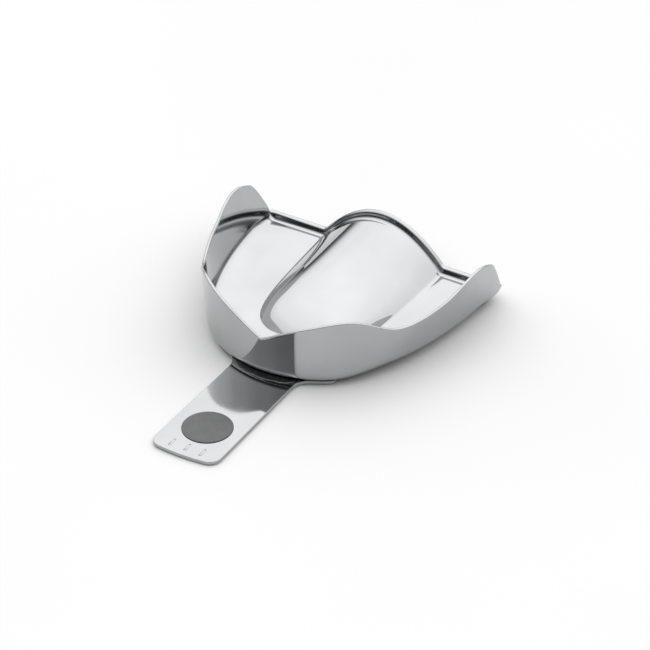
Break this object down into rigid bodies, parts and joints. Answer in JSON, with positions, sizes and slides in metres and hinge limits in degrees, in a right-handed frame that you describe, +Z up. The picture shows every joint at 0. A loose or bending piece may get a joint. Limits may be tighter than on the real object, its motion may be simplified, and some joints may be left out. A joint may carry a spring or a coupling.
{
  "type": "dental impression tray",
  "caption": "Polished steel upper-arch impression tray: solid flanged trough with a palate vault and a flat strip handle.",
  "frame": {"origin": "middle of the bounding box on its underside, which is the underside of the handle strip", "axes": "+Y along the tray from the handle to the open rear, +Z up out of the bowl, +X to the right seen from the handle end"},
  "size_m": [0.0762, 0.1036, 0.0202],
  "materials": {
    "bowl_steel": "polished",
    "handle_steel": "polished",
    "weld_metal": "satin",
    "solder": "satin",
    "dot_enamel": "satin"
  },
  "bodies": {
    "root": {"tray_bowl": "bowl_steel", "handle": "handle_steel", "weld_plugs": "weld_metal", "solder_fillet": "solder", "size_dot": "dot_enamel"}
  },
  "joints": []
}
